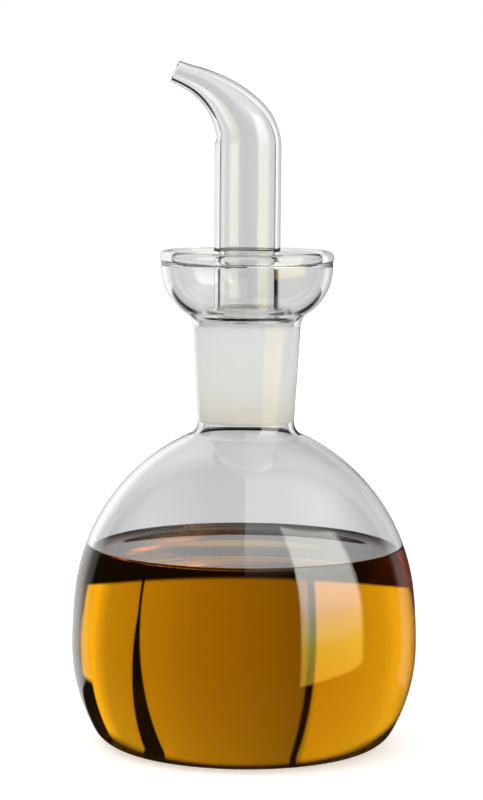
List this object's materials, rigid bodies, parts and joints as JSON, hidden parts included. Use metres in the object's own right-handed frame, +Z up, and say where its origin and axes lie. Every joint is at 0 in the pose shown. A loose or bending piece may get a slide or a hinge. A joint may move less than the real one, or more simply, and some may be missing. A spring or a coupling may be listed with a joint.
{
  "type": "oil bottle",
  "caption": "Round clear glass oil bottle, part filled with golden oil, with a drip bowl around its neck and a ground-in glass stopper drawn out into a bent pouring spout.",
  "frame": {"origin": "on the bottle's axis, at the height of the foot ring that it stands on", "axes": "+Z up along the axis; the spout pours towards -X; the front seen in the picture faces -Y"},
  "size_m": [0.105, 0.105, 0.2071],
  "materials": {
    "clear_glass": "clear and polished, ground white inside the neck",
    "spout_glass": "clear and polished, ground white on the cone",
    "oil": "clear golden liquid"
  },
  "bodies": {
    "root": {"bottle": "clear_glass", "spout_stopper": "spout_glass", "oil": "oil"}
  },
  "joints": []
}
